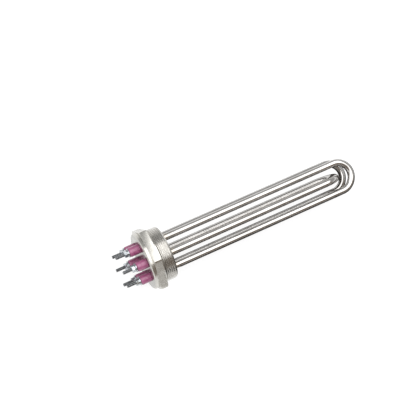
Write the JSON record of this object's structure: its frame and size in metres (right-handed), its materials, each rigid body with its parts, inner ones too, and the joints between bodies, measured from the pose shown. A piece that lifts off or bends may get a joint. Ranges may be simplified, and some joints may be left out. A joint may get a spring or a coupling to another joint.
{
  "type": "immersion heater element",
  "caption": "Screw-plug immersion heater: U-bent heating tubes brazed into a hexagon plug with an external pipe thread and ceramic-insulated terminal studs.",
  "frame": {"origin": "on the plug's axis, in the plane of the sealing shoulder between the hexagon and the threaded shank", "axes": "+X along the plug's axis towards the tube bends, +Z square to one hexagon flat"},
  "size_m": [0.2842, 0.075, 0.065],
  "materials": {
    "plug_stainless": "turned stainless steel, satin",
    "sheath_stainless": "drawn and polished stainless tube",
    "magnesia": "compacted powder",
    "resistance_wire": "nickel-chromium wire",
    "stud_steel": "rolled thread, dark",
    "silicone": "cast silicone",
    "pink_alumina": "fired chrome alumina, satin",
    "zinc_plated_steel": "bright zinc plating",
    "silver_braze": "silver braze fillet"
  },
  "bodies": {
    "root": {"screw_plug": "plug_stainless", "braze_rings": "silver_braze", "flat_washers": "zinc_plated_steel", "spring_washers": "zinc_plated_steel", "terminal_nuts": "zinc_plated_steel", "near_sheath": "sheath_stainless", "near_magnesia": "magnesia", "near_coil": "resistance_wire", "far_sheath": "sheath_stainless", "far_magnesia": "magnesia", "far_coil": "resistance_wire", "cross_sheath": "sheath_stainless", "cross_magnesia": "magnesia", "cross_coil": "resistance_wire", "terminal_pin_1": "stud_steel", "end_seal_1": "silicone", "insulator_1": "pink_alumina", "terminal_pin_2": "stud_steel", "end_seal_2": "silicone", "insulator_2": "pink_alumina", "terminal_pin_3": "stud_steel", "end_seal_3": "silicone", "insulator_3": "pink_alumina", "terminal_pin_4": "stud_steel", "end_seal_4": "silicone", "insulator_4": "pink_alumina", "terminal_pin_5": "stud_steel", "end_seal_5": "silicone", "insulator_5": "pink_alumina", "terminal_pin_6": "stud_steel", "end_seal_6": "silicone", "insulator_6": "pink_alumina"}
  },
  "joints": []
}
